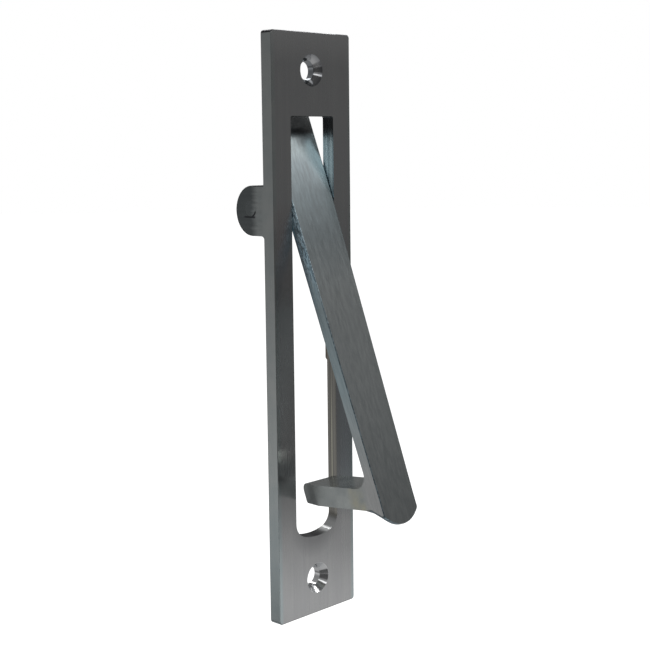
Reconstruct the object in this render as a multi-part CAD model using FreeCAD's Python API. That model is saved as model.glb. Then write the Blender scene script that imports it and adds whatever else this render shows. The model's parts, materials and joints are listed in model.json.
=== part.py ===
import FreeCAD, Part
import math
import os

# Pocket door pull: a slotted faceplate with two ears behind it, and a lever with a
# finger hook that turns between the ears on a fixed pin.
# Millimetres. X runs across the plate, Z up along it. The plate's back lies on Y = 0,
# its face looks toward -Y, and the origin is midway between the screw holes.

V = FreeCAD.Vector

# Faceplate
PLATE_H = 152.4
PLATE_W = 28.575
PLATE_T = 3.7
CORNER_R = 0.9
ARRIS_R = 0.25

# Slot, set in from the plate's ends
SLOT_W = 15.6
SLOT_TOP_INSET = 21.0
SLOT_FOOT_INSET = 21.1
SLOT_CORNER_R = 4.2
SLOT_CROWN = 1.8
SLOT_TOP_R = 0.5
SLOT_FOOT_DRAFT = 0.3
RELIEF = 0.6
RELIEF_H = 46.0

# Screw holes, set in from the plate's ends
HOLE_INSET = 9.525
HOLE_D = 5.0
SINK_D = 8.1
SINK_ANGLE = 82.0

# Ears, their middle a little below the pivot
EAR_R = 6.4
EAR_T = 4.2
EAR_DROP = 0.6
EAR_REACH = 10.5
EAR_FILLET = 1.0
EAR_RIM_R = 0.3
EAR_LEAN = 4.0
EAR_LEAN_FROM = 3.0

# Pivot, measured from the plate's back and down from the slot's top
PIVOT_Y = 5.0
PIVOT_DROP = 23.1
PIN_D = 4.0
DRIVE_FIT = 0.01
RUN_FIT = 0.05

# Lever
LEVER_T = 2.9
SIDE_GAP = 0.15
TAIL_W = 14.8
FOOT_W = 12.8
FOOT_STRAIGHT = 7.5
OPEN_ANGLE = 20.8

# Lever tail
TAIL_CLEAR = 0.12
TAIL_BACK_R = 1.6

# Lever hub, wider than the slot, with two flats that stop on the plate's back
HUB_R = 4.7
HUB_FILLET = 2.0
STOP_GAP = 0.15
STOP_REACH = 4.3

# Lever foot
FOOT_GAP = 0.35
FOOT_CROWN = 3.0
FOOT_CORNER_R = 0.9
FOOT_LAND = 0.8
FOOT_BEVEL = 3.0
FOOT_BEVEL_RISE = 2.25

# Finger hook
HOOK_T = 5.35
HOOK_SLOPE = 15.0
HOOK_DROP = 4.05
HOOK_REACH = 24.2
HOOK_TOP_R = 3.3
HOOK_UNDER_R = 4.0
HOOK_TIP_R = 0.8
HOOK_TIP_TOP_R = 1.8
FACET_L = 5.5
FACET_W = 1.75

# Derived sizes
FRONT = -PLATE_T
SLOT_HALF = SLOT_W / 2.0
SLOT_TOP = PLATE_H / 2.0 - SLOT_TOP_INSET
SLOT_FOOT = SLOT_FOOT_INSET - PLATE_H / 2.0
HOLE_Z = PLATE_H / 2.0 - HOLE_INSET
PIVOT_Z = SLOT_TOP - PIVOT_DROP
EAR_Z = PIVOT_Z - EAR_DROP
LEVER_W = SLOT_W - 2.0 * SIDE_GAP
LEVER_BACK = FRONT + LEVER_T
FOOT_Z = SLOT_FOOT + FOOT_GAP
TAPER_END = FOOT_Z + FOOT_STRAIGHT
HUB_W = PLATE_W - 2.0 * EAR_T - 2.0 * SIDE_GAP
PIVOT = V(0, PIVOT_Y, PIVOT_Z)


def prism(points, along):
    """Straight-sided outline pushed along a vector."""
    wire = Part.makePolygon(points + points[:1])
    return Part.Face(wire).extrude(along)


def near_edges(shape, test):
    """Edges whose middle point and direction pass a test."""
    found = []
    for edge in shape.Edges:
        mid = edge.valueAt((edge.FirstParameter + edge.LastParameter) / 2.0)
        way = edge.tangentAt((edge.FirstParameter + edge.LastParameter) / 2.0)
        if test(mid, way, edge):
            found.append(edge)
    return found


def across(points_yz, half_width):
    """Side outline in Y and Z, pushed across the part, centred on X = 0."""
    points = [V(-half_width, y, z) for y, z in points_yz]
    return prism(points, V(2.0 * half_width, 0, 0))


def crowned_end(half_width, foot, crown, corner_r, top, y):
    """Face with straight sides and a crowned foot with rounded corners, in plane Y = y."""
    low = foot + crown
    sides = [V(-half_width, y, low), V(-half_width, y, top), V(half_width, y, top), V(half_width, y, low)]
    edges = [Part.makeLine(sides[i], sides[i + 1]) for i in range(3)]
    edges.append(Part.Arc(sides[3], V(0, y, foot), sides[0]).toShape())
    blank = Part.Face(Part.Wire(edges)).extrude(V(0, 1, 0))
    corners = near_edges(blank, lambda m, w, e: abs(w.y) > 0.99 and abs(m.z - low) < 0.01)
    blank = blank.makeFillet(corner_r, corners)
    return [f for f in blank.Faces if abs(f.CenterOfMass.y - y) < 1e-6][0]


def countersunk_hole(z):
    """Cutter for one screw hole, open toward the plate's face."""
    depth = (SINK_D - HOLE_D) / 2.0 / math.tan(math.radians(SINK_ANGLE / 2.0))
    bore = Part.makeCylinder(HOLE_D / 2.0, PLATE_T + 2.0, V(0, FRONT - 1.0, z), V(0, 1, 0))
    sink = Part.makeCone(SINK_D / 2.0, HOLE_D / 2.0, depth, V(0, FRONT, z), V(0, 1, 0))
    mouth = Part.makeCylinder(SINK_D / 2.0, 1.0, V(0, FRONT - 1.0, z), V(0, 1, 0))
    return bore.fuse([sink, mouth])


def ear(side):
    """One ear: a lug with a round back end, flush with the plate's side."""
    x0 = side * (PLATE_W / 2.0 - EAR_T)
    centre_y = EAR_REACH - EAR_R
    low, high = EAR_Z - EAR_R, EAR_Z + EAR_R
    bend = EAR_FILLET * (1.0 - math.sqrt(0.5))
    points = [V(x0, y, z) for y, z in [
        (centre_y, low), (EAR_FILLET, low), (0, low - EAR_FILLET), (FRONT / 2.0, low - EAR_FILLET),
        (FRONT / 2.0, high), (centre_y, high)]]
    edges = [Part.makeLine(points[i], points[i + 1]) for i in (0, 2, 3, 4)]
    edges.insert(1, Part.Arc(points[1], V(x0, bend, low - bend), points[2]).toShape())
    edges.append(Part.Arc(points[5], V(x0, EAR_REACH, EAR_Z), points[0]).toShape())
    lug = Part.Face(Part.Wire(edges)).extrude(V(side * EAR_T, 0, 0))
    rim = near_edges(lug, lambda m, w, e: abs(m.x - side * PLATE_W / 2.0) < 1e-6 and m.y > EAR_FILLET)
    return lug.makeFillet(EAR_RIM_R, rim)


def ear_grind(side):
    """Cutter that leans the outer end of an ear, and of the pin in it, toward the middle."""
    x0 = side * PLATE_W / 2.0
    far = EAR_REACH + 2.0
    lean = side * (far - EAR_LEAN_FROM) * math.tan(math.radians(EAR_LEAN))
    points = [V(x0, EAR_LEAN_FROM, EAR_Z - 10.0), V(x0 + side, EAR_LEAN_FROM, EAR_Z - 10.0),
              V(x0 + side, far, EAR_Z - 10.0), V(x0 - lean, far, EAR_Z - 10.0)]
    return prism(points, V(0, 0, 20.0))


def slot_cutters():
    """The slot: straight walls, a foot that rises a little toward the back, and a relief behind it."""
    depth = PLATE_T + EAR_REACH + 4.0
    low = SLOT_FOOT + 12.0
    opening = [V(-SLOT_HALF, FRONT - 1.0, low), V(SLOT_HALF, FRONT - 1.0, low),
               V(SLOT_HALF, FRONT - 1.0, SLOT_TOP), V(-SLOT_HALF, FRONT - 1.0, SLOT_TOP)]
    upper = prism(opening, V(0, depth, 0))
    upper = upper.makeFillet(SLOT_TOP_R, near_edges(upper, lambda m, w, e: abs(w.y) > 0.99
                                                    and abs(m.z - SLOT_TOP) < 0.01))
    rise = SLOT_FOOT_DRAFT / PLATE_T
    foot = crowned_end(SLOT_HALF, SLOT_FOOT - rise, SLOT_CROWN, SLOT_CORNER_R, low + 1.0, FRONT - 1.0)
    foot = foot.extrude(V(0, PLATE_T + 2.0, (PLATE_T + 2.0) * rise))
    rings = []
    for step in (-RELIEF, RELIEF):
        grow = step + RELIEF
        ring = crowned_end(SLOT_HALF + grow, SLOT_FOOT + SLOT_FOOT_DRAFT - grow, SLOT_CROWN, SLOT_CORNER_R,
                           SLOT_FOOT + RELIEF_H + grow, step)
        rings.append(ring.OuterWire)
    return [upper, foot, Part.makeLoft(rings, True, True)]


def make_faceplate():
    plate = Part.makeBox(PLATE_W, PLATE_T, PLATE_H, V(-PLATE_W / 2.0, FRONT, -PLATE_H / 2.0))
    plate = plate.makeFillet(CORNER_R, near_edges(plate, lambda m, w, e: abs(w.y) > 0.99))
    faces = near_edges(plate, lambda m, w, e: abs(m.y - FRONT) < 1e-6 or abs(m.y) < 1e-6)
    plate = plate.makeFillet(ARRIS_R, faces)
    plate = plate.fuse([ear(1), ear(-1)]).removeSplitter()
    holes = [countersunk_hole(s * HOLE_Z) for s in (1, -1)]
    bore = Part.makeCylinder(PIN_D / 2.0 + DRIVE_FIT, PLATE_W + 2.0,
                             V(-PLATE_W / 2.0 - 1.0, PIVOT_Y, PIVOT_Z), V(1, 0, 0))
    return plate.cut(slot_cutters() + [bore, ear_grind(1), ear_grind(-1)] + holes)


def tail_point(y):
    """Height of the tail's curved end, which clears the slot's top as the lever turns."""
    edge = V(0, 0, SLOT_TOP) - PIVOT
    radius = edge.Length - TAIL_CLEAR
    return PIVOT_Z + math.sqrt(radius ** 2 - (y - PIVOT_Y) ** 2)


def hook_line(y, lift):
    """Height of the hook's underside, or of its top when lifted, at depth y."""
    slope = math.tan(math.radians(HOOK_SLOPE))
    return FOOT_Z + HOOK_DROP + slope * (y - FRONT) + lift


def lever_side():
    """Closed lever seen from the side: bar, curved tail end and hook."""
    lift = HOOK_T / math.cos(math.radians(HOOK_SLOPE))
    tip = LEVER_BACK + HOOK_REACH
    middle = (FRONT + LEVER_BACK) / 2.0
    arc = Part.Arc(V(0, FRONT, tail_point(FRONT)), V(0, middle, tail_point(middle)),
                   V(0, LEVER_BACK, tail_point(LEVER_BACK))).toShape()
    run = [
        (LEVER_BACK, tail_point(LEVER_BACK)), (LEVER_BACK, hook_line(LEVER_BACK, lift)),
        (tip, hook_line(tip, lift)), (tip, hook_line(tip, 0)), (LEVER_BACK, hook_line(LEVER_BACK, 0)),
        (LEVER_BACK, FOOT_Z - 1.0), (FRONT, FOOT_Z - 1.0), (FRONT, tail_point(FRONT)),
    ]
    points = [V(0, y, z) for y, z in run]
    edges = [arc] + [Part.makeLine(a, b) for a, b in zip(points, points[1:])]
    face = Part.Face(Part.Wire(edges))
    face.translate(V(-SLOT_HALF, 0, 0))
    body = face.extrude(V(SLOT_W, 0, 0))

    def crease(y, z):
        return near_edges(body, lambda m, w, e: abs(w.x) > 0.99 and abs(m.y - y) < 0.01
                          and abs(m.z - z) < 0.01)

    body = body.makeFillet(HOOK_TOP_R, crease(LEVER_BACK, hook_line(LEVER_BACK, lift)))
    body = body.makeFillet(HOOK_UNDER_R, crease(LEVER_BACK, hook_line(LEVER_BACK, 0)))
    body = body.makeFillet(HOOK_TIP_TOP_R, crease(tip, hook_line(tip, lift)))
    body = body.makeFillet(HOOK_TIP_R, crease(tip, hook_line(tip, 0)))
    return body.makeFillet(TAIL_BACK_R, crease(LEVER_BACK, tail_point(LEVER_BACK)))


def lever_front():
    """Closed lever seen from the front: tapered sides, and a foot bevelled at the back."""
    deep = LEVER_BACK + HOOK_REACH + 2.0 - FRONT
    tail, mid, foot = TAIL_W / 2.0, LEVER_W / 2.0, FOOT_W / 2.0
    low = TAPER_END - 0.5
    half = [(tail, SLOT_TOP), (mid, PIVOT_Z), (foot, TAPER_END), (foot, low)]
    outline = [V(x, FRONT - 1.0, z) for x, z in half] + [V(-x, FRONT - 1.0, z) for x, z in reversed(half)]
    upper = prism(outline, V(0, deep + 1.0, 0))
    face = crowned_end(foot, FOOT_Z, FOOT_CROWN, FOOT_CORNER_R, low + 0.4, FRONT - 1.0)
    pieces = [upper, face.extrude(V(0, 1.0 + FOOT_LAND, 0))]
    face.translate(V(0, 1.0 + FOOT_LAND, 0))
    pieces.append(face.extrude(V(0, FOOT_BEVEL, FOOT_BEVEL_RISE)))
    face.translate(V(0, FOOT_BEVEL, FOOT_BEVEL_RISE))
    pieces.append(face.extrude(V(0, deep - FOOT_LAND - FOOT_BEVEL, 0)))
    return pieces[0].fuse(pieces[1:]).removeSplitter()


def hub_web():
    """Block that joins the lever's back to the hub, inside the slot's width."""
    y0 = (FRONT + LEVER_BACK) / 2.0
    return across([(y0, PIVOT_Z - HUB_R), (PIVOT_Y, PIVOT_Z - HUB_R),
                   (PIVOT_Y, PIVOT_Z + HUB_R), (y0, PIVOT_Z + HUB_R)], SLOT_HALF)


def hub():
    """Hub between the ears. Its upper flat meets the plate when closed, its lower when open."""
    stand = PIVOT_Y - STOP_GAP
    turn = math.radians(OPEN_ANGLE)
    low = (-stand * math.cos(turn) + STOP_REACH * math.sin(turn),
           -stand * math.sin(turn) - STOP_REACH * math.cos(turn))
    lean = math.atan2(low[1], low[0]) + math.acos(HUB_R / math.hypot(*low))
    outline = [(-stand, HUB_R), (-stand, -stand * math.tan(turn / 2.0)), low,
               (HUB_R * math.cos(lean), HUB_R * math.sin(lean)), (0, 0), (0, HUB_R)]
    block = across([(PIVOT_Y + y, PIVOT_Z + z) for y, z in outline], HUB_W / 2.0)
    barrel = Part.makeCylinder(HUB_R, HUB_W, V(-HUB_W / 2.0, PIVOT_Y, PIVOT_Z), V(1, 0, 0))
    return barrel.fuse(block)


def tip_facet(side):
    """Cutter that narrows the hook toward its tip."""
    tip = LEVER_BACK + HOOK_REACH
    edge = side * FOOT_W / 2.0
    slope = FACET_W / FACET_L
    low = FOOT_Z - 2.0
    points = [V(edge, tip - FACET_L, low), V(edge + side * 2.0, tip - FACET_L, low),
              V(edge + side * 2.0, tip + 2.0, low), V(edge - side * slope * (FACET_L + 2.0), tip + 2.0, low)]
    return prism(points, V(0, 0, 30))


def make_lever():
    body = lever_side().fuse(hub_web()).removeSplitter()
    roots = near_edges(body, lambda m, w, e: abs(w.x) > 0.99 and abs(m.y - LEVER_BACK) < 0.01
                       and abs(abs(m.z - PIVOT_Z) - HUB_R) < 0.01)
    body = body.makeFillet(HUB_FILLET, roots)
    body = body.common(lever_front())
    body = body.cut([tip_facet(1), tip_facet(-1)])
    face_edges = near_edges(body, lambda m, w, e: abs(m.y - FRONT) < 1e-6)
    body = body.makeFillet(ARRIS_R, face_edges)
    body = body.fuse(hub()).removeSplitter()
    body = body.cut(Part.makeCylinder(PIN_D / 2.0 + RUN_FIT, PLATE_W,
                                      V(-PLATE_W / 2.0, PIVOT_Y, PIVOT_Z), V(1, 0, 0)))
    body.rotate(PIVOT, V(1, 0, 0), -OPEN_ANGLE)
    return body


def make_pin():
    rod = Part.makeCylinder(PIN_D / 2.0, PLATE_W, V(-PLATE_W / 2.0, PIVOT_Y, PIVOT_Z), V(1, 0, 0))
    return rod.cut([ear_grind(1), ear_grind(-1)])


def main():
    os.makedirs("parts", exist_ok=True)
    nodes = {"faceplate": make_faceplate(), "lever": make_lever(), "pivot_pin": make_pin()}
    for name, shape in nodes.items():
        solids = shape.Solids
        print(name, "solids", len(solids), "valid", shape.isValid(), "volume %.1f" % shape.Volume,
              "box", [round(v, 2) for v in (shape.BoundBox.XMin, shape.BoundBox.XMax, shape.BoundBox.YMin,
                                            shape.BoundBox.YMax, shape.BoundBox.ZMin, shape.BoundBox.ZMax)])
        solids[0].exportStep("parts/%s.step" % name)


main()
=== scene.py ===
# %% [markdown]
# # Pocket door pull
# A slotted steel faceplate carries a lever between two ears. The lever hangs open, so
# that its finger hook stands out of the slot. The solids are already exact, so this
# script is about light and finish: brushed satin faces, ground edges, polished
# countersinks, and a studio that the metal can reflect.

# %% Load the frame
import json
import math
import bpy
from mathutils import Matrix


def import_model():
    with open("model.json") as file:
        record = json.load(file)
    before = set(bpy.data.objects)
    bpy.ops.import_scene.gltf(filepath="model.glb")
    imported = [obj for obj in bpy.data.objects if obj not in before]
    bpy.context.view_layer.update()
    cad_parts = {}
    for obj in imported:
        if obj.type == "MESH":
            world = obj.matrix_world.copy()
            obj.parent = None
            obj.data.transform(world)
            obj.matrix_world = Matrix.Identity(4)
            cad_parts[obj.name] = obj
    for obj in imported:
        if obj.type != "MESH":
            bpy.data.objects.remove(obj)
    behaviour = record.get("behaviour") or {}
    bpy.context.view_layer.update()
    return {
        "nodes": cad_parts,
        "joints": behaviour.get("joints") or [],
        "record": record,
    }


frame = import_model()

from types import SimpleNamespace

import bmesh
import bpy
from mathutils import Matrix, Vector

print("solids in the frame:", sorted(frame["nodes"]))

# %% [markdown]
# ## Places that the finishes need
# A finish has to know where the screw holes are, where the lever turns and how far it
# leans. The frame holds all three, so none is typed here a second time. Other places on
# the pieces are given in millimetres, as on a drawing.

# %% Places from the frame
MM = 0.001
HINGE = frame["joints"][0]
PIVOT_Y, PIVOT_Z = HINGE["pos_m"][1:]
LEVER_LEAN = math.radians(HINGE["range_deg"][1])
MOUNTS = {mount["name"]: mount for mount in frame["record"]["mounts"]}
HOLE_Z = MOUNTS["screw_holes"]["dims"]["spacing_y_mm"] / 2 * MM
SINK_RIM = 4.02
BORE_RIM = 2.55
print("pivot at", (PIVOT_Y, PIVOT_Z), "lean", LEVER_LEAN, "hole at", HOLE_Z)

# %% [markdown]
# ## Camera
# The object was photographed from the left of the plate's front with a lens a little
# longer than normal. A camera can be aimed with a Track To constraint, but that fixes its
# roll. Here its three axes are worked out from a turn, a rise and a roll instead. It
# stands close, so the plate's far edges look smaller than its near ones.

# %% Camera
CAMERA_AT = (-0.24536, -0.24030, 0.04730)
CAMERA_TURN = math.radians(-46.49)
CAMERA_RISE = math.radians(7.67)
CAMERA_ROLL = math.radians(-0.67)
LENS_MM = 73.12
SENSOR_MM = 36.0
NEAREST_SEEN = 0.01


def aim_camera():
    back = Vector((math.sin(CAMERA_TURN) * math.cos(CAMERA_RISE),
                   -math.cos(CAMERA_TURN) * math.cos(CAMERA_RISE), math.sin(CAMERA_RISE)))
    right = Vector((math.cos(CAMERA_TURN), math.sin(CAMERA_TURN), 0.0))
    up = back.cross(right)
    level, tall = math.cos(CAMERA_ROLL), math.sin(CAMERA_ROLL)
    side, top = right * level + up * tall, up * level - right * tall
    data = bpy.data.cameras.new("camera")
    data.lens, data.sensor_width, data.sensor_fit = LENS_MM, SENSOR_MM, "HORIZONTAL"
    data.clip_start = NEAREST_SEEN
    camera = bpy.data.objects.new("camera", data)
    camera.matrix_world = Matrix((side, top, back)).transposed().to_4x4()
    camera.location = CAMERA_AT
    bpy.context.scene.collection.objects.link(camera)
    bpy.context.scene.camera = camera
    return camera


print("lens:", aim_camera().data.lens, "mm")

# %% [markdown]
# ## Node helpers
# Every finish below is a small node tree. Such a tree can be drawn by hand in the shader
# editor. Written as a script it can be read, compared and changed, so these helpers add a
# node, fill its sockets and link it in one line.

# %% Nodes and sums
def fill(tree, node, values):
    for name, value in values.items():
        socket = node.inputs[name]
        if isinstance(value, bpy.types.NodeSocket):
            tree.links.new(value, socket)
        else:
            socket.default_value = value
    return node


def add(tree, kind, values=None, **settings):
    node = tree.nodes.new("ShaderNode" + kind)
    for name, value in settings.items():
        setattr(node, name, value)
    return fill(tree, node, values or {})


def maths(tree, operation, a, b=0.0):
    return add(tree, "Math", {0: a, 1: b}, operation=operation).outputs[0]


def away_from(tree, a, b, a0, b0):
    """Distance of the point (a, b) from (a0, b0)."""
    da, db = maths(tree, "SUBTRACT", a, a0), maths(tree, "SUBTRACT", b, b0)
    squares = maths(tree, "MULTIPLY", da, da), maths(tree, "MULTIPLY", db, db)
    return maths(tree, "SQRT", maths(tree, "ADD", *squares))


print("sums: maths, away_from")

# %% [markdown]
# A mask says how strongly a mark shows, from 0 to 1. Most marks on this object are
# stretches along the plate or the lever, so their ends are given in millimetres, each as
# the two places between which the mark fades.

# %% Masks
def spread(tree, value, low, high, to_low=0.0, to_high=1.0):
    node = add(tree, "MapRange", {"Value": value, "From Min": low, "From Max": high,
                                  "To Min": to_low, "To Max": to_high}, clamp=True)
    return node.outputs["Result"]


def fall(tree, value, fade, end):
    return spread(tree, value, fade, end, 1.0, 0.0)


def mixed(tree, mask, a, b):
    """One value where the mask is 0 and another where it is 1."""
    return spread(tree, mask, 0.0, 1.0, a, b)


def both(tree, *masks):
    result = masks[0]
    for mask in masks[1:]:
        result = maths(tree, "MULTIPLY", result, mask)
    return result


def flip(tree, mask):
    return maths(tree, "SUBTRACT", 1.0, mask)


def past(tree, value, start, full):
    """Mask that rises between two places in millimetres."""
    return spread(tree, value, start * MM, full * MM)


def before(tree, value, fade, end):
    """Mask that falls between two places in millimetres."""
    return fall(tree, value, fade * MM, end * MM)


def stretch(tree, value, start, full, fade, end):
    """Mask that rises, stays and falls, at four places in millimetres."""
    return both(tree, past(tree, value, start, full), before(tree, value, fade, end))


print("masks: spread, fall, mixed, both, flip, past, before, stretch")

# %% [markdown]
# A mark either covers the metal's colour or scales it. Scaling keeps the grain that is
# already there, so it suits tinted places, and covering suits strong shade.

# %% Colours
def rgb(red, green, blue):
    return (red, green, blue, 1.0)


def grey(level):
    return rgb(level, level, level)


def tint(tree, factor, a, b, blend_type="MIX"):
    node = add(tree, "Mix", data_type="RGBA", blend_type=blend_type)
    fill(tree, node, {0: factor, 6: a, 7: b})
    return node.outputs[2]


def scaled(tree, mask, colour, red, green, blue):
    """The colour, multiplied by three factors where the mask is 1."""
    return tint(tree, mask, colour, rgb(red, green, blue), "MULTIPLY")


print("colours: rgb, grey, tint, scaled")

# %% [markdown]
# ## Studio
# Brushed steel is seen by what it reflects. A white room would leave it flat, so a wide
# ring of grey card stands around the object, out of the camera's sight. The world itself
# is white where it is seen and softer as a light, and two lamps give the lit edges.

# %% World and lamps
SOFT_LIGHT = 0.7


def light_path_is_seen(tree):
    path = add(tree, "LightPath")
    seen = maths(tree, "MAXIMUM", path.outputs["Is Camera Ray"], path.outputs["Is Glossy Ray"])
    return maths(tree, "MAXIMUM", seen, path.outputs["Is Transmission Ray"])


def white_world():
    world = bpy.data.worlds.new("white_room")
    world.use_nodes = True
    tree = world.node_tree
    tree.nodes.clear()
    strength = mixed(tree, light_path_is_seen(tree), SOFT_LIGHT, 1.0)
    background = add(tree, "Background", {"Color": grey(1.0), "Strength": strength})
    add(tree, "OutputWorld", {"Surface": background.outputs[0]})
    bpy.context.scene.world = world


def soft_lamp(name, place, wide, tall, power):
    data = bpy.data.lights.new(name, "AREA")
    data.shape, data.size, data.size_y, data.energy = "ELLIPSE", wide, tall, power
    lamp = bpy.data.objects.new(name, data)
    lamp.location = place
    lamp.rotation_euler = (-Vector(place)).to_track_quat("-Z", "Y").to_euler()
    lamp.visible_camera = False
    bpy.context.scene.collection.objects.link(lamp)
    print(name, "gives", power, "W")


white_world()
soft_lamp("window_lamp", place=(0.73, -0.03, 0.70), wide=0.66, tall=0.30, power=2.0)
soft_lamp("rear_lamp", place=(0.27, 0.69, 0.64), wide=0.30, tall=0.22, power=0.5)
bpy.context.scene.view_settings.view_transform = "Standard"

# %% [markdown]
# The pale floor only carries the shadow. Its glow shows to the camera and the metal
# doesn't reflect it, so it whitens the background and puts no light on the object.

# %% Floor
FLOOR_Z, FLOOR_R = -0.25, 6.0
FLOOR_GREY, FLOOR_GLOW = 0.8, 0.55
ROUND = 96


def new_stage_piece(name, mesh_maker):
    mesh = bpy.data.meshes.new(name)
    form = bmesh.new()
    mesh_maker(form)
    form.to_mesh(mesh)
    form.free()
    piece = bpy.data.objects.new(name, mesh)
    bpy.context.scene.collection.objects.link(piece)
    return piece


def floor_disc(form):
    bmesh.ops.create_circle(form, cap_ends=True, segments=ROUND, radius=FLOOR_R)
    bmesh.ops.translate(form, verts=form.verts, vec=(0.0, 0.0, FLOOR_Z))


def floor_paint():
    material = bpy.data.materials.new("pale_floor")
    material.use_nodes = True
    tree = material.node_tree
    tree.nodes.clear()
    strength = maths(tree, "MULTIPLY", light_path_is_seen(tree), FLOOR_GLOW)
    matt = add(tree, "BsdfDiffuse", {"Color": grey(FLOOR_GREY)})
    glow = add(tree, "Emission", {"Color": grey(1.0), "Strength": strength})
    surface = add(tree, "AddShader", {0: matt.outputs[0], 1: glow.outputs[0]})
    add(tree, "OutputMaterial", {"Surface": surface.outputs[0]})
    return material


floor = new_stage_piece("floor", floor_disc)
floor.data.materials.append(floor_paint())
floor.visible_glossy = False
print("floor at", FLOOR_Z, "m")

# %% [markdown]
# ## Grey card room
# The card is a round wall with a bottom and a lid. A circle makes the bottom, its rim is
# drawn up into the wall, and the wall's upper rim is closed.

# %% Card room shape
RING_R = 1.5
RING_FOOT, RING_TOP = -0.85, 0.90


def card_room(form):
    bmesh.ops.create_circle(form, cap_ends=True, segments=ROUND, radius=RING_R)
    bmesh.ops.translate(form, verts=form.verts, vec=(0.0, 0.0, RING_FOOT))
    rise = bmesh.ops.extrude_edge_only(form, edges=form.edges[:])["geom"]
    top = [part for part in rise if isinstance(part, bmesh.types.BMVert)]
    bmesh.ops.translate(form, verts=top, vec=(0.0, 0.0, RING_TOP - RING_FOOT))
    rim = [part for part in rise
           if isinstance(part, bmesh.types.BMEdge) and all(v in top for v in part.verts)]
    bmesh.ops.contextual_create(form, geom=rim)


ring = new_stage_piece("grey_card_room", card_room)
ring.visible_camera = False
ring.visible_shadow = False
ring.visible_diffuse = False
print("card room from", RING_FOOT, "to", RING_TOP, "m, radius", RING_R)

# %% [markdown]
# The card is dark at the object's own level and pale near the floor, and the metal shows that as
# the soft change from dark to bright along the plate and the lever. In front, its upper edge is
# white too, which the slot's walls pick up. Each pair below is a height in metres and a grey
# level. The first levels were worked out from the brightness measured along the photographed
# plate and lever, and all were then changed.

# %% Card shades
FRONT_SHADES = [
    (-0.85, 0.34), (-0.75, 0.24), (-0.68, 0.60), (-0.61, 0.90), (-0.53, 0.50),
    (-0.46, 0.20), (-0.41, 0.09), (-0.31, 0.13), (-0.15, 0.10), (-0.04, 0.15),
    (0.22, 0.14), (0.31, 0.14), (0.37, 0.20), (0.46, 0.23), (0.55, 0.22),
    (0.66, 0.19), (0.745, 0.15), (0.77, 0.55), (0.79, 1.0), (0.90, 1.0)]
LEFT_SHADES = [
    (-0.85, 0.14), (-0.60, 0.34), (-0.52, 0.50), (-0.38, 0.46), (-0.25, 0.37),
    (-0.12, 0.28), (0.08, 0.24), (0.30, 0.20), (0.90, 0.24)]
REAR_SHADES = [
    (-0.85, 0.34), (-0.60, 0.24), (-0.30, 0.12), (0.20, 0.12), (0.34, 0.22),
    (0.46, 0.20), (0.60, 0.10), (0.90, 0.10)]


def card_shades(tree, height, shades):
    node = add(tree, "ValToRGB", {0: spread(tree, height, RING_FOOT, RING_TOP)})
    ramp = node.color_ramp
    while len(ramp.elements) < len(shades):
        ramp.elements.new(0.5)
    for element, (at, level) in zip(ramp.elements, shades):
        element.position = (at - RING_FOOT) / (RING_TOP - RING_FOOT)
        element.color = grey(level)
    return node.outputs[0]


def card_wall(tree, across, height, behind):
    leftward = fall(tree, across, -0.75, -0.45)
    rear = tint(tree, leftward, card_shades(tree, height, REAR_SHADES),
                card_shades(tree, height, LEFT_SHADES))
    return tint(tree, behind, card_shades(tree, height, FRONT_SHADES), rear)


print("shades:", len(FRONT_SHADES), "front,", len(LEFT_SHADES), "left,", len(REAR_SHADES), "rear")

# %% [markdown]
# The polished countersinks look much further round than the flat faces do. They find a
# grey patch on the bottom, a dark lid with one white window in it, and a dark strip on
# the camera's side. All are masks in one material, which is simpler than more cards.

# %% Card paint
BOTTOM_GREY = 0.36
LID_GREY_FRONT, LID_GREY_REAR = 0.07, 0.30
STRIP_WAY = (0.788, 0.616)
STRIP_GREY = 0.05


def white_window(tree, across, deep, from_middle, on_lid):
    """Mask of the window, an arc on the lid's right that is narrower at its rear."""
    inner_part = maths(tree, "MAXIMUM", fall(tree, from_middle, 1.06, 1.14),
                       fall(tree, deep, 0.40, 0.55))
    return both(tree, on_lid, spread(tree, from_middle, 0.72, 0.78),
                spread(tree, across, 0.12, 0.20), spread(tree, deep, -0.72, -0.62), inner_part)


def dark_strip(tree, across, deep, height):
    aside = maths(tree, "SUBTRACT", maths(tree, "MULTIPLY", deep, STRIP_WAY[0]),
                  maths(tree, "MULTIPLY", across, STRIP_WAY[1]))
    return both(tree, fall(tree, maths(tree, "ABSOLUTE", aside), 0.16, 0.26),
                fall(tree, across, -0.5, -0.4),
                fall(tree, height, 0.35, 0.50))


def card_paint():
    material = bpy.data.materials.new("grey_card")
    material.use_nodes = True
    tree = material.node_tree
    tree.nodes.clear()
    place = add(tree, "SeparateXYZ", {0: add(tree, "TexCoord").outputs["Object"]})
    across, deep, height = place.outputs
    behind = spread(tree, deep, -0.1, 0.35)
    from_middle = away_from(tree, across, deep, 0.0, 0.0)
    on_bottom = fall(tree, height, -0.80, -0.75)
    on_lid = spread(tree, height, 0.88, 0.89)
    bottom = both(tree, on_bottom, fall(tree, from_middle, 0.35, 0.75))
    lid = both(tree, on_lid, fall(tree, from_middle, 1.12, 1.25))
    lid_grey = tint(tree, behind, grey(LID_GREY_FRONT), grey(LID_GREY_REAR))
    colour = card_wall(tree, across, height, behind)
    colour = tint(tree, bottom, colour, grey(BOTTOM_GREY))
    colour = tint(tree, lid, colour, lid_grey)
    window = white_window(tree, across, deep, from_middle, on_lid)
    colour = tint(tree, window, colour, grey(1.0))
    colour = tint(tree, dark_strip(tree, across, deep, height), colour, grey(STRIP_GREY))
    glow = add(tree, "Emission", {"Color": colour, "Strength": 1.0})
    add(tree, "OutputMaterial", {"Surface": glow.outputs[0]})
    return material


ring.data.materials.append(card_paint())
print("card wears", ring.data.materials[0].name)
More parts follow.
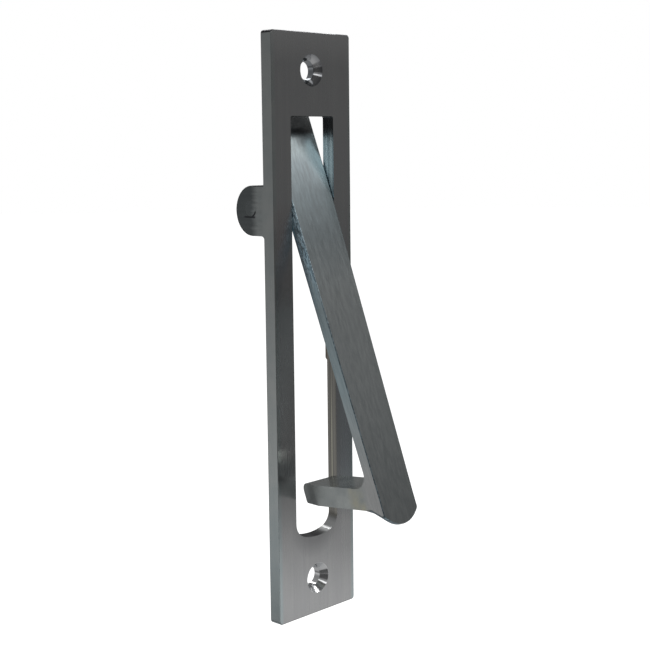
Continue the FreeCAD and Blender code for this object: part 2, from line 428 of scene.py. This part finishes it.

# %% [markdown]
# ## Shared finishes
# Satin steel is rubbed with an abrasive belt. That leaves thousands of fine scratches along one
# direction, and broader bands where the belt bit deeper. The plating over it is a little cloudy,
# and the ears have a darker outer part. Three node groups make these, and each material places
# them along its own brushing direction.

# %% Brushed grain and cloudy plating
def make_group(name, inputs, outputs):
    group = bpy.data.node_groups.new(name, "ShaderNodeTree")
    for label, kind, value in inputs:
        socket = group.interface.new_socket(label, in_out="INPUT", socket_type=kind)
        if value is not None:
            socket.default_value = value
    for label in outputs:
        group.interface.new_socket(label, in_out="OUTPUT", socket_type="NodeSocketFloat")
    return group, group.nodes.new("NodeGroupInput"), group.nodes.new("NodeGroupOutput")


def stretched_noise(tree, vector, wide, long, detail):
    size = add(tree, "CombineXYZ", {0: wide, 1: wide, 2: long}).outputs[0]
    scale = add(tree, "VectorMath", {0: vector, 1: size}, operation="MULTIPLY").outputs[0]
    return add(tree, "TexNoise", {"Vector": scale, "Scale": 1.0, "Detail": detail}).outputs[0]


def brushed_grain():
    group, source, result = make_group(
        "brushed_grain",
        [("Vector", "NodeSocketVector", None), ("Scratches per metre", "NodeSocketFloat", 3600.0),
         ("Bands per metre", "NodeSocketFloat", 700.0),
         ("Length per metre", "NodeSocketFloat", 45.0)],
        ["Scratches", "Bands"])
    vector, scratches, bands, length = source.outputs[0:4]
    fine = stretched_noise(group, vector, scratches, length, 3.0)
    broad = stretched_noise(group, vector, bands, maths(group, "MULTIPLY", length, 0.25), 2.0)
    fill(group, result, {0: spread(group, fine, 0.25, 0.75), 1: spread(group, broad, 0.3, 0.7)})
    return group


def cloudy_plating():
    group, source, result = make_group(
        "cloudy_plating",
        [("Vector", "NodeSocketVector", None), ("Clouds per metre", "NodeSocketFloat", 220.0),
         ("Pits per metre", "NodeSocketFloat", 2600.0)],
        ["Clouds", "Pits"])
    vector, clouds, pits = source.outputs[0:3]
    broad = add(group, "TexNoise", {"Vector": vector, "Scale": clouds, "Detail": 4.0}).outputs[0]
    fine = add(group, "TexNoise", {"Vector": vector, "Scale": pits, "Detail": 2.0}).outputs[0]
    fill(group, result, {0: spread(group, broad, 0.35, 0.65), 1: spread(group, fine, 0.3, 0.7)})
    return group


GRAIN = brushed_grain()
CLOUDS = cloudy_plating()
for group in (GRAIN, CLOUDS):
    print("group:", group.name, [s.name for s in group.interface.items_tree])

# %% [markdown]
# The ear's outer part is darker, with a ragged edge. The pin's end lies flush in it and was
# probably ground with it, so plate and pin share this mask.

# %% Ear patch
EAR_DARK = rgb(0.19, 0.21, 0.215)
EDGE_SOFTNESS = 1.2 * MM


def ear_patch():
    group, source, result = make_group(
        "ear_patch",
        [("Vector", "NodeSocketVector", None), ("Edge", "NodeSocketFloat", 3.4 * MM),
         ("Drag", "NodeSocketFloat", 2.6 * MM)],
        ["Patch"])
    vector, edge, drag = source.outputs[0:3]
    deep = add(group, "SeparateXYZ", {0: vector}).outputs[1]
    noise = stretched_noise(group, vector, 60.0, 1500.0, 2.0)
    shift = maths(group, "MULTIPLY", maths(group, "SUBTRACT", noise, 0.5), drag)
    beyond = maths(group, "SUBTRACT", maths(group, "ADD", deep, shift), edge)
    fill(group, result, {0: spread(group, beyond, -EDGE_SOFTNESS, EDGE_SOFTNESS)})
    return group


EAR_PATCH = ear_patch()
print("group:", EAR_PATCH.name, [s.name for s in EAR_PATCH.interface.items_tree])

# %% [markdown]
# A brushed face stretches its highlights at right angles to the scratches. The shader
# takes that direction as a tangent, so each material works it out from its own brushing
# line. An end face looks along that line and is ground across the piece instead.

# %% Steel
def steel_material(name, anisotropic):
    material = bpy.data.materials.new(name)
    material.use_nodes = True
    tree = material.node_tree
    tree.nodes.clear()
    shader = add(tree, "BsdfPrincipled", {"Metallic": 1.0, "Anisotropic": anisotropic})
    add(tree, "OutputMaterial", {"Surface": shader.outputs[0]})
    return material, tree, shader


def place_group(tree, group, vector, **densities):
    """A shared effect on this piece, with its densities per metre."""
    values = {name.capitalize() + " per metre": value for name, value in densities.items()}
    node = add(tree, "Group", node_tree=group)
    return fill(tree, node, {"Vector": vector, **values}).outputs


def across_the_grain(tree, line):
    own = add(tree, "TexCoord").outputs["Normal"]
    along = add(tree, "VectorMath", {0: own, 1: line}, operation="DOT_PRODUCT").outputs["Value"]
    end_face = spread(tree, maths(tree, "ABSOLUTE", along), 0.90, 0.92)
    grain_line = tint(tree, end_face, rgb(*line), rgb(1.0, 0.0, 0.0))
    world_line = add(tree, "VectorTransform", {0: grain_line}, vector_type="VECTOR",
                     convert_from="OBJECT", convert_to="WORLD").outputs[0]
    facing = add(tree, "NewGeometry").outputs["Normal"]
    cross = add(tree, "VectorMath", {0: world_line, 1: facing}, operation="CROSS_PRODUCT")
    return add(tree, "VectorMath", {0: cross.outputs[0]}, operation="NORMALIZE").outputs[0]


def scratched(tree, height, strength):
    """Bump of scratches a tenth of a millimetre deep."""
    values = {"Height": height, "Strength": strength, "Distance": 0.1 * MM}
    return add(tree, "Bump", values).outputs[0]


print("steel: steel_material, place_group, across_the_grain, scratched")

# %% [markdown]
# ## Plate finish
# The plate is one casting with many surfaces: a brushed face, ground sides and ears,
# milled slot walls and turned countersinks. They could be given material slots face by
# face, but a rounded edge belongs to two of them. So one material covers the piece, and
# masks tell the surfaces apart by place and by the way they look.

# %% Plate surfaces
SLOT_REACH = (8.8, 9.2)
SIDE_REACH = (12.8, 13.6)


def plate_surfaces(tree):
    coordinates = add(tree, "TexCoord")
    place = coordinates.outputs["Object"]
    across, deep, height = add(tree, "SeparateXYZ", {0: place}).outputs
    facing = add(tree, "SeparateXYZ", {0: coordinates.outputs["Normal"]}).outputs
    off_middle = maths(tree, "ABSOLUTE", across)
    from_hole = away_from(tree, across, maths(tree, "ABSOLUTE", height), 0.0, HOLE_Z)
    face = fall(tree, facing[1], -0.9, -0.6)
    not_back = fall(tree, facing[1], 0.5, 0.7)
    sink = both(tree, not_back, before(tree, from_hole, SINK_RIM, SINK_RIM + 0.1))
    wall = both(tree, not_back, flip(tree, face), before(tree, off_middle, *SLOT_REACH),
                flip(tree, sink))
    return SimpleNamespace(
        place=place, across=across, deep=deep, height=height, facing=facing,
        from_hole=from_hole, face=face, sink=sink, wall=wall,
        side=past(tree, off_middle, *SIDE_REACH), cut_end=spread(tree, facing[2], 0.2, 0.5))


print("plate surfaces: face, sides, walls, countersinks")

# %% [markdown]
# The face is a neutral satin along the plate's height. Its sides and ears are a little
# cooler, and the grinding belt ran across the ears, which left faint lines from front to
# back.

# %% Plate satin
def plate_satin(tree, at, grain, clouds):
    colour = tint(tree, grain["Bands"], rgb(0.482, 0.484, 0.490), rgb(0.512, 0.516, 0.516))
    cloudy = mixed(tree, clouds["Clouds"], 0.0, 0.35)
    colour = tint(tree, cloudy, colour, rgb(0.46, 0.47, 0.475))
    return tint(tree, at.side, colour, ground_side(tree, at, clouds))


def ground_side(tree, at, clouds):
    cool = tint(tree, clouds["Clouds"], rgb(0.455, 0.490, 0.490), rgb(0.500, 0.525, 0.520))
    cool = tint(tree, place_group(tree, EAR_PATCH, at.place)[0], cool, EAR_DARK)
    lying = add(tree, "CombineXYZ", {0: at.across, 1: at.height, 2: at.deep}).outputs[0]
    belt = place_group(tree, GRAIN, lying, scratches=3000.0, bands=1300.0, length=90.0)["Bands"]
    belt_lines = maths(tree, "MULTIPLY", belt, spread(tree, at.deep, 0.0, 0.8 * MM, 0.0, 0.35))
    return scaled(tree, belt_lines, cool, 0.60, 0.61, 0.62)


print("plate satin: face and ground sides")

# %% [markdown]
# The face is painted unevenly where the studio gives no such light. A painted reflection darkens
# the left rail beside the hook, painted shade lies under the slot's foot, painted light makes the
# top end paler, and painted reflection tints colour the rails beside the lever. They are patches
# placed in millimetres, so they stay when the lever moves.

# %% Painted light on the plate
LEFT_RAIL, RIGHT_RAIL = (-8.5, -7.5), (7.0, 10.0)
# Colours of the painted reflection, shade and light on the face.
HOOK_REFLECTION_SHADE = rgb(0.26, 0.265, 0.27)
HOOK_REFLECTION_STRETCH = (-39.0, -37.0, -34.5, -30.5)
UNDER_FOOT_SHADE = rgb(0.20, 0.20, 0.21)
UNDER_FOOT_SHADE_AT = (-1.0 * MM, -52.5 * MM)
TOP_END_LIGHT = rgb(0.74, 0.74, 0.74)
RAIL_REFLECTION_TINTS = [
    ("right", (-52.0, -40.0, -2.0, 4.0), (1.02, 1.10, 1.15)),
    ("right", (-60.0, -54.0, -52.0, -46.0), (1.14, 1.14, 1.14)),
    ("left", (6.0, 14.0, 24.0, 34.0), (0.89, 0.81, 0.80))]


def plate_painted_light(tree, at, colour):
    rails = {"left": both(tree, at.face, before(tree, at.across, *LEFT_RAIL)),
             "right": both(tree, at.face, past(tree, at.across, *RIGHT_RAIL))}
    # Painted reflection: the left rail is darker beside the hook.
    hook_reflection = both(tree, rails["left"], stretch(tree, at.height, *HOOK_REFLECTION_STRETCH))
    colour = tint(tree, hook_reflection, colour, HOOK_REFLECTION_SHADE)
    # Painted shade under the slot's foot.
    from_foot = away_from(tree, at.across, at.height, *UNDER_FOOT_SHADE_AT)
    under_foot_shade = both(tree, at.face, spread(tree, from_foot, 4.0 * MM, 8.5 * MM, 0.42, 0.0))
    colour = tint(tree, under_foot_shade, colour, UNDER_FOOT_SHADE)
    # Painted light: the top end is paler.
    top_end_light = both(tree, at.face, spread(tree, at.height, 68.0 * MM, 76.0 * MM, 0.0, 0.55))
    colour = tint(tree, top_end_light, colour, TOP_END_LIGHT)
    # Painted reflection tints on the rails beside the lever.
    for side, places, factors in RAIL_REFLECTION_TINTS:
        reflection_tinted = both(tree, rails[side], stretch(tree, at.height, *places))
        colour = scaled(tree, reflection_tinted, colour, *factors)
    return colour


print("rail tints:", len(RAIL_REFLECTION_TINTS))

# %% [markdown]
# The slot's walls are streaked along their length, as a milling cutter leaves them, with one
# paler line along them. Over the streaks they carry painted reflection tones: bright and bluish
# above, dull below, and brownish where the lower walls step back. The slot's top wall, the walls'
# top ends and the foot wall's left end get painted shade.

# %% Slot walls
PALE_LINE = -2.0 * MM
WALL_SHADES = [(rgb(0.15, 0.15, 0.14), rgb(0.36, 0.35, 0.32)),
               (rgb(0.36, 0.44, 0.47), rgb(0.74, 0.82, 0.84)),
               (rgb(0.13, 0.11, 0.09), rgb(0.46, 0.43, 0.37))]


def milled_wall_and_painted_light(tree, at, bright, dull):
    # Painted reflection tones over the streaks: bright above, dull below.
    wall_and_painted_light = tint(tree, past(tree, at.height, 0.0, 30.0), dull, bright)
    # Painted shade: the slot's top wall is a little darker.
    ceiling_shade = fall(tree, at.facing[2], -0.9, -0.5)
    wall_and_painted_light = tint(tree, ceiling_shade, wall_and_painted_light, rgb(0.60, 0.63, 0.63))
    off_line = maths(tree, "ABSOLUTE", maths(tree, "SUBTRACT", at.deep, PALE_LINE))
    pale_line = both(tree, before(tree, off_line, 0.12, 0.22),
                       stretch(tree, at.height, -45.0, -40.0, -28.0, -10.0))
    wall_and_painted_light = tint(tree, pale_line, wall_and_painted_light, rgb(0.56, 0.55, 0.46))
    # Painted shade: the walls darken at the slot's top end.
    wall_and_painted_light = tint(tree, past(tree, at.height, 51.2, 52.4), wall_and_painted_light, rgb(0.20, 0.21, 0.22))
    # Painted shade: the foot wall is dark at its left end.
    foot_shade = tint(tree, past(tree, at.across, -0.5, 4.0), rgb(0.10, 0.10, 0.11),
                rgb(0.52, 0.53, 0.53))
    return tint(tree, at.cut_end, wall_and_painted_light, foot_shade)


def slot_walls(tree, at, colour, streaks):
    dull, bright, brownish = [tint(tree, streaks["Bands"], *pair) for pair in WALL_SHADES]
    colour = tint(tree, at.wall, colour, milled_wall_and_painted_light(tree, at, bright, dull))
    # Painted reflection: a brownish tone where the lower walls step back.
    relief = both(tree, at.wall, past(tree, at.deep, -0.8, -0.6),
                  before(tree, at.height, 0.0, 20.0))
    return tint(tree, relief, colour, brownish)


print("slot walls:", len(WALL_SHADES), "pairs of shades")

# %% [markdown]
# The plate's upward edges are painted dark, as painted shade in place of a bright reflection, and
# its lower sides are a touch cooler. Both countersinks are turned bright, and are probably alike
# on the real plate. Here the upper one is painted with a duller rim and a darker bore, as painted
# shade, and the lower one with a painted highlight on its right, so each has its own tones.

# %% Edges and countersinks
def plate_edges(tree, at, colour):
    upward = both(tree, spread(tree, at.facing[2], 0.10, 0.30),
                  fall(tree, at.facing[2], 0.94, 0.99))
    # Painted shade on the upper upward edges.
    top_edge_shade = both(tree, upward, past(tree, at.height, 0.0, 10.0), flip(tree, at.wall))
    colour = tint(tree, top_edge_shade, colour, rgb(0.05, 0.05, 0.055))
    low_side = both(tree, at.side, before(tree, at.height, -60.0, -30.0))
    return scaled(tree, low_side, colour, 0.98, 1.04, 1.07)


def countersinks(tree, at, colour):
    turned, turned_right_highlight = rgb(0.72, 0.73, 0.74), rgb(0.95, 0.96, 0.97)
    upper_hole = past(tree, at.height, 0.0, 10.0)
    # Painted highlight on the lower countersink's right side.
    polished = tint(tree, past(tree, at.across, 1.0, 3.0), turned, turned_right_highlight)
    polished = tint(tree, upper_hole, polished, turned)
    # Painted shade on the upper countersink's rim and bore.
    rim = both(tree, upper_hole, past(tree, at.from_hole, 3.1, 4.0))
    polished = tint(tree, rim, polished, rgb(0.42, 0.43, 0.45))
    bore_shade = both(tree, upper_hole, before(tree, at.from_hole, BORE_RIM, BORE_RIM + 0.1))
    polished = tint(tree, bore_shade, polished, rgb(0.34, 0.36, 0.38))
    return tint(tree, at.sink, colour, polished)


print("countersink rim at", SINK_RIM, "mm")

# %% [markdown]
# The pin's end is ground flush with the ear, and only a part of its outline shows: a dark
# arc at its lower front, and a bar along its foot. The places are in millimetres from the
# pin's middle.

# %% Pin mark
def pin_mark(tree, at):
    back = maths(tree, "SUBTRACT", at.deep, PIVOT_Y)
    up = maths(tree, "SUBTRACT", at.height, PIVOT_Z)
    from_pin = away_from(tree, at.deep, at.height, PIVOT_Y, PIVOT_Z)
    arc = both(tree, stretch(tree, from_pin, 1.3, 1.8, 2.3, 2.6),
               before(tree, up, -0.9, -0.4), before(tree, back, -1.0, -0.6))
    off_bar = maths(tree, "ABSOLUTE", maths(tree, "ADD", up, 2.2 * MM))
    bar = both(tree, before(tree, off_bar, 0.1, 0.3), stretch(tree, back, -2.1, -1.8, 1.9, 2.7))
    return both(tree, at.side, maths(tree, "MAXIMUM", arc, bar))


print("pin mark around", (PIVOT_Y, PIVOT_Z))

# %% [markdown]
# The whole plate finish puts these in order, from the broad satin to the small marks. The
# roughness follows the same masks: scratches on the face, streaks in the slot, and close
# to a polish in the countersinks.

# %% Plate finish
def plate_roughness(tree, at, grain, streaks):
    rough = mixed(tree, grain["Scratches"], 0.23, 0.28)
    rough = mixed(tree, at.wall, rough, mixed(tree, streaks["Scratches"], 0.20, 0.32))
    rough = mixed(tree, both(tree, at.wall, at.cut_end), rough, 0.16)
    return mixed(tree, at.sink, rough, 0.15)


def plate_finish():
    material, tree, shader = steel_material("satin_plate_finish", anisotropic=0.8)
    at = plate_surfaces(tree)
    grain = place_group(tree, GRAIN, at.place)
    clouds = place_group(tree, CLOUDS, at.place)
    streaks = place_group(tree, GRAIN, at.place, scratches=2400.0, bands=1500.0, length=30.0)
    colour = plate_satin(tree, at, grain, clouds)
    colour = plate_painted_light(tree, at, colour)
    colour = slot_walls(tree, at, colour, streaks)
    colour = plate_edges(tree, at, colour)
    colour = countersinks(tree, at, colour)
    colour = tint(tree, pin_mark(tree, at), colour, rgb(0.06, 0.06, 0.07))
    scratches = both(tree, grain["Scratches"], flip(tree, at.sink))
    fill(tree, shader, {
        "Base Color": colour, "Roughness": plate_roughness(tree, at, grain, streaks),
        "Normal": scratched(tree, scratches, 0.02),
        "Tangent": across_the_grain(tree, (0.0, 0.0, 1.0))})
    return material


def wear(piece_name, material):
    piece = frame["nodes"][piece_name]
    piece.data.materials.clear()
    piece.data.materials.append(material)
    print(piece_name, "wears", material.name)


wear("faceplate", plate_finish())

# %% [markdown]
# ## Lever finish
# The lever is brushed along its own length, so its grain leans with it. Its coordinates
# are turned about the pivot by the lever's lean, which stands it upright, and every place
# below is given as on the closed lever.

# %% Lever surfaces
def lever_surfaces(tree):
    coordinates = add(tree, "TexCoord")
    upright = {"Center": (0.0, PIVOT_Y, PIVOT_Z), "Angle": LEVER_LEAN}
    place = add(tree, "VectorRotate", {"Vector": coordinates.outputs["Object"], **upright},
                rotation_type="X_AXIS").outputs[0]
    normal = add(tree, "VectorRotate",
                 {"Vector": coordinates.outputs["Normal"], "Angle": LEVER_LEAN},
                 rotation_type="X_AXIS").outputs[0]
    across, deep, height = add(tree, "SeparateXYZ", {0: place}).outputs
    facing = add(tree, "SeparateXYZ", {0: normal}).outputs
    sideways = maths(tree, "ABSOLUTE", facing[0])
    hook = both(tree, past(tree, deep, 0.0, 2.0), before(tree, height, -30.0, -25.0))
    return SimpleNamespace(
        place=place, across=across, deep=deep, height=height, facing=facing,
        sideways=sideways, side=spread(tree, sideways, 0.6, 0.9), hook=hook)


print("lever surfaces: face, sides, hook")

# %% [markdown]
# The face has short mottled scratches over the satin. Above the middle it has a band of painted
# shade, and the tail is painted a little duller, then lighter near its end. Its right rim has a
# painted bright reflection beside the slot, with painted shade lower down, and its end has
# painted shade where it goes in behind the plate. A stretch that runs off the tail fades beyond
# its end.

# %% Lever face
BEYOND_TAIL = (60.0, 61.0)
# Painted shade and light along the face: a darker band above the middle, a duller tail and a
# lighter tail end.
LEVER_PAINTED_LIGHT = {
    "painted shade band": ((9.0, 21.0, 32.0, 43.5), (0.70, 0.71, 0.72)),
    "painted shade on tail": ((30.0, 40.0, *BEYOND_TAIL), (0.93, 0.93, 0.94)),
    "painted light on tail": ((41.0, 44.0, *BEYOND_TAIL), (1.15, 1.15, 1.13))}
# Painted reflection on the right rim, and painted shade at the tail's end.
RIGHT_RIM_HIGHLIGHT = rgb(0.66, 0.75, 0.77)
TAIL_SHADE = rgb(0.21, 0.208, 0.205)


def lever_satin_and_painted_light(tree, at, grain, mottle):
    colour = tint(tree, grain["Bands"], rgb(0.450, 0.480, 0.480), rgb(0.500, 0.530, 0.530))
    colour = tint(tree, mottle, scaled(tree, 1.0, colour, 0.89, 0.90, 0.91),
                  rgb(0.545, 0.575, 0.575))
    # Painted shade and light along the face.
    for places, factors in LEVER_PAINTED_LIGHT.values():
        colour = scaled(tree, stretch(tree, at.height, *places), colour, *factors)
    return colour


def lever_painted_light_and_tint(tree, at, colour, mottle):
    # Painted reflection: the right rim is bright beside the slot.
    right_rim_highlight = both(tree, past(tree, at.across, 1.5, 6.2), past(tree, at.height, 33.0, 40.0))
    colour = tint(tree, right_rim_highlight, colour, RIGHT_RIM_HIGHLIGHT)
    # Painted shade on the right rim lower down.
    low_rim_shade = both(tree, past(tree, at.across, 3.5, 6.5),
                   stretch(tree, at.height, 22.0, 27.0, 33.0, 38.0))
    colour = scaled(tree, low_rim_shade, colour, 0.80, 0.82, 0.82)
    # Painted shade at the tail's end, where it goes in behind the plate.
    front = fall(tree, at.facing[1], -0.5, -0.3)
    tail_end_shade = both(tree, past(tree, at.height, 48.4, 49.3), front)
    colour = tint(tree, tail_end_shade, colour, TAIL_SHADE)
    bluish = both(tree, past(tree, at.height, 5.0, 30.0), mixed(tree, mottle, 0.4, 1.0))
    return scaled(tree, bluish, colour, 0.97, 1.06, 1.10)


print("lever tints:", list(LEVER_PAINTED_LIGHT))

# %% [markdown]
# The sides are shinier than the face and slightly wavy, neutral at the foot and bluer toward the
# slot, where a pale blue is a painted reflection. Their rounded edges get painted shade with
# broken bluish streaks. Pale flecks show on the left side, as where plating has clouded. A fleck
# is taken to scatter light, so there the surface is less metallic.

# %% Lever sides and hook
SIDE_SHADES = [(rgb(0.42, 0.43, 0.43), rgb(0.52, 0.53, 0.53)),
               (rgb(0.34, 0.43, 0.46), rgb(0.46, 0.55, 0.58)),
               (rgb(0.50, 0.80, 1.00), rgb(0.80, 0.95, 1.0))]


def lever_sides(tree, at, colour, waves, clouds):
    neutral, blue, pale_blue_reflection = [tint(tree, waves["Scratches"], *pair) for pair in SIDE_SHADES]
    side_tone_and_reflection = tint(tree, past(tree, at.height, -42.0, -18.0), neutral, blue)
    # Painted reflection: the side turns pale blue toward the slot.
    side_tone_and_reflection = tint(tree, past(tree, at.height, 2.0, 14.0), side_tone_and_reflection, pale_blue_reflection)
    colour = tint(tree, at.side, colour, side_tone_and_reflection)
    # Painted shade with broken bluish streaks on the rounded edges.
    edge = both(tree, spread(tree, at.sideways, 0.08, 0.20),
                fall(tree, at.sideways, 0.95, 0.99))
    edge_painted_light = tint(tree, spread(tree, clouds["Pits"], 0.3, 0.8), rgb(0.14, 0.19, 0.22),
                     rgb(0.46, 0.58, 0.64))
    return tint(tree, edge, colour, edge_painted_light)


def pale_flecks(tree, at):
    """Mask of the pale flecks, which are strongest near the front edge."""
    flecks = place_group(tree, GRAIN, at.place, scratches=2200.0, bands=900.0, length=800.0)
    left_side = fall(tree, at.facing[0], -0.9, -0.6)
    near_front = spread(tree, at.deep, -2.8 * MM, -1.2 * MM, 1.0, 0.2)
    return both(tree, left_side, past(tree, at.height, 2.0, 14.0), near_front,
                spread(tree, flecks["Scratches"], 0.35, 0.65))


def hook_satin_and_shade(tree, at, clouds):
    satin = tint(tree, clouds["Clouds"], rgb(0.39, 0.42, 0.42), rgb(0.51, 0.54, 0.53))
    # Painted shade on the tip facet.
    tip_facet_shade = both(tree, at.hook, fall(tree, at.facing[0], -0.5, -0.3),
                     spread(tree, at.facing[1], 0.2, 0.35))
    satin = scaled(tree, tip_facet_shade, satin, 0.68, 0.70, 0.70)
    brown_root = both(tree, stretch(tree, at.deep, 0.0, 2.0, 5.0, 7.0), clouds["Clouds"])
    return scaled(tree, brown_root, satin, 1.02, 0.95, 0.80)


print("side shades:", len(SIDE_SHADES), "pairs")

# %% [markdown]
# The hook is a cloudy satin with a faint brown tone at its root, and painted shade darkens the
# facet at its tip. It covers whatever the lever's other masks put there, so it comes last.

# %% Lever finish
FLECK_METAL = 0.66


def lever_finish():
    material, tree, shader = steel_material("satin_lever_finish", anisotropic=0.85)
    at = lever_surfaces(tree)
    grain = place_group(tree, GRAIN, at.place, length=60.0)
    clouds = place_group(tree, CLOUDS, at.place)
    waves = place_group(tree, GRAIN, at.place, scratches=2000.0, bands=900.0, length=160.0)
    mottle = place_group(tree, GRAIN, at.place, scratches=1500.0, bands=700.0,
                         length=380.0)["Scratches"]
    colour = lever_satin_and_painted_light(tree, at, grain, mottle)
    colour = lever_painted_light_and_tint(tree, at, colour, mottle)
    colour = lever_sides(tree, at, colour, waves, clouds)
    colour = tint(tree, at.hook, colour, hook_satin_and_shade(tree, at, clouds))
    rough = mixed(tree, at.side, mixed(tree, grain["Scratches"], 0.18, 0.24),
                  mixed(tree, clouds["Pits"], 0.21, 0.27))
    scratches = maths(tree, "MULTIPLY", grain["Scratches"], 0.3)
    relief = maths(tree, "ADD", scratches, both(tree, waves["Scratches"], at.side))
    line = (0.0, math.sin(LEVER_LEAN), math.cos(LEVER_LEAN))
    fill(tree, shader, {
        "Base Color": colour, "Roughness": rough,
        "Metallic": mixed(tree, pale_flecks(tree, at), 1.0, FLECK_METAL),
        "Normal": scratched(tree, relief, 0.05), "Tangent": across_the_grain(tree, line)})
    return material


wear("lever", lever_finish())

# %% [markdown]
# ## Pin finish
# The pin is turned bar, driven through both ears and ground flush with them. Its ends carry the
# ears' darker outer part over faint turning rings.

# %% Pin finish
RINGS_PER_METRE = 26000.0


def pin_finish():
    material, tree, shader = steel_material("turned_pin_finish", anisotropic=0.0)
    place = add(tree, "TexCoord").outputs["Object"]
    deep, height = add(tree, "SeparateXYZ", {0: place}).outputs[1:]
    from_middle = away_from(tree, deep, height, PIVOT_Y, PIVOT_Z)
    rings = maths(tree, "SINE", maths(tree, "MULTIPLY", from_middle, RINGS_PER_METRE))
    clouds = place_group(tree, CLOUDS, place)
    colour = tint(tree, clouds["Clouds"], rgb(0.44, 0.47, 0.47), rgb(0.50, 0.53, 0.53))
    colour = tint(tree, place_group(tree, EAR_PATCH, place)[0], colour, EAR_DARK)
    fill(tree, shader, {
        "Base Color": colour, "Roughness": mixed(tree, clouds["Pits"], 0.26, 0.34),
        "Normal": scratched(tree, rings, 0.03)})
    return material


wear("pivot_pin", pin_finish())
